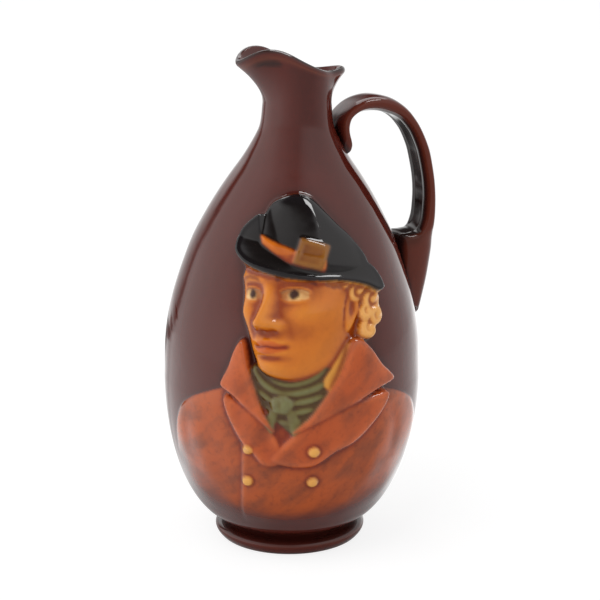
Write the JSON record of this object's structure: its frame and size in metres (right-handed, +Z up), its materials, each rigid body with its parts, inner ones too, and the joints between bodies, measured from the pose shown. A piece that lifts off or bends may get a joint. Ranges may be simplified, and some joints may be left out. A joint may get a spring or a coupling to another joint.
{
  "type": "whisky jug",
  "caption": "Pear-shaped glazed stoneware jug with a turned foot, a narrow neck, an open mouth with a pouring lip, a strap handle and a bust in low relief.",
  "frame": {"origin": "centre of the foot's flat underside", "axes": "+Z up along the turned body; +X towards the handle, -X towards the pouring lip; the bust faces mostly -Y"},
  "size_m": [0.1185, 0.1145, 0.21],
  "materials": {
    "glaze": "glossy treacle-brown glaze on stoneware, with a coloured bust under the glaze"
  },
  "bodies": {
    "root": {"jug": "glaze"}
  },
  "joints": []
}
